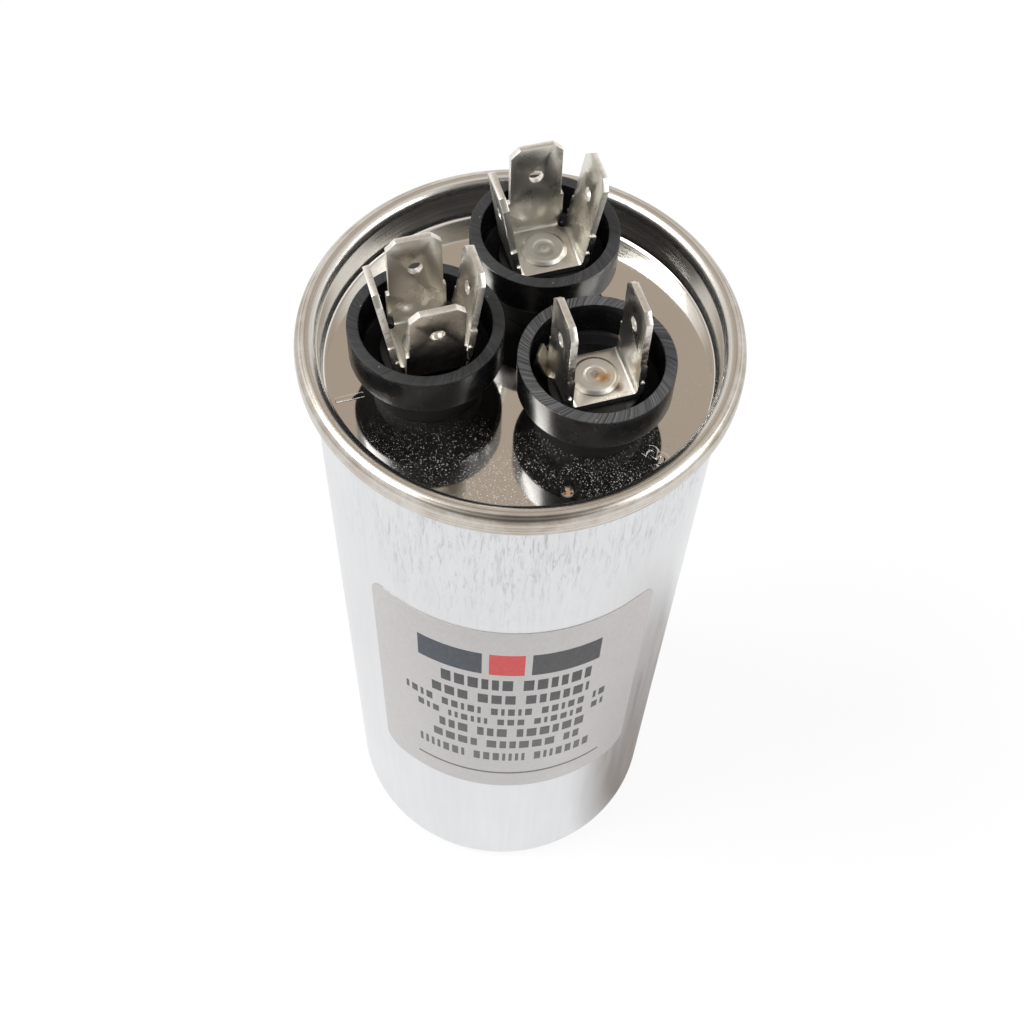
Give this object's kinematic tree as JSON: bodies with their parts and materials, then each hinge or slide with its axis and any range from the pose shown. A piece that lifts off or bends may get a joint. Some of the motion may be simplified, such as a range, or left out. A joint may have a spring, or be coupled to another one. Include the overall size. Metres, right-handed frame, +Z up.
{
  "type": "motor run capacitor",
  "caption": "Round motor run capacitor: aluminium can with a rolled seam, recessed tinplate lid, cupped quick-connect terminals and a film winding inside.",
  "frame": {"origin": "centre of the can's foot, on the surface it stands on", "axes": "+Z up along the can's axis, towards the terminals; the common terminal is on -X, the compressor terminal at 60 degrees from +X and the fan terminal at -60 degrees; the blades are square to X and Y"},
  "size_m": [0.0534, 0.0534, 0.13],
  "materials": {
    "can_aluminium": "satin drawn aluminium with fine upright streaks",
    "lid_tinplate": "bright tin plate, close to a mirror, with dust specks and a rust spot",
    "label_film": "silver-grey matt film with printed bars",
    "cup_black": "black moulding, sawn rim, semi-gloss sides",
    "blade_metal": "tinned sheet with brown stains on its cut edges",
    "rivet_metal": "spun tinned rivet",
    "seal_rubber": "matt black rubber",
    "bush_white": "natural white moulding",
    "fibre_board": "brown fibre board",
    "lead_strip": "tinned copper strip",
    "liner_board": "tan pressboard",
    "tray_white": "natural white moulding",
    "core_tube": "natural white moulding",
    "metallised_film": "wound metallised film",
    "clear_film": "clear film wrap",
    "sprayed_zinc": "rough sprayed zinc"
  },
  "bodies": {
    "root": {"can": "can_aluminium", "lid": "lid_tinplate", "label": "label_film", "cup_common": "cup_black", "cup_compressor": "cup_black", "cup_fan": "cup_black", "terminal_common": "blade_metal", "terminal_compressor": "blade_metal", "terminal_fan": "blade_metal", "side_tab_fan": "blade_metal", "rivet_common": "rivet_metal", "rivet_compressor": "rivet_metal", "rivet_fan": "rivet_metal", "seal_common": "seal_rubber", "seal_compressor": "seal_rubber", "seal_fan": "seal_rubber", "bush_common": "bush_white", "bush_compressor": "bush_white", "bush_fan": "bush_white", "interrupter_plate": "fibre_board", "lead_common": "lead_strip", "lead_compressor": "lead_strip", "lead_fan": "lead_strip", "liner": "liner_board", "bottom_insulator": "tray_white", "winding_core": "core_tube", "fan_winding": "metallised_film", "section_wrap": "clear_film", "compressor_winding": "metallised_film", "outer_wrap": "clear_film", "spray_common": "sprayed_zinc", "spray_fan": "sprayed_zinc", "spray_compressor": "sprayed_zinc"}
  },
  "joints": []
}
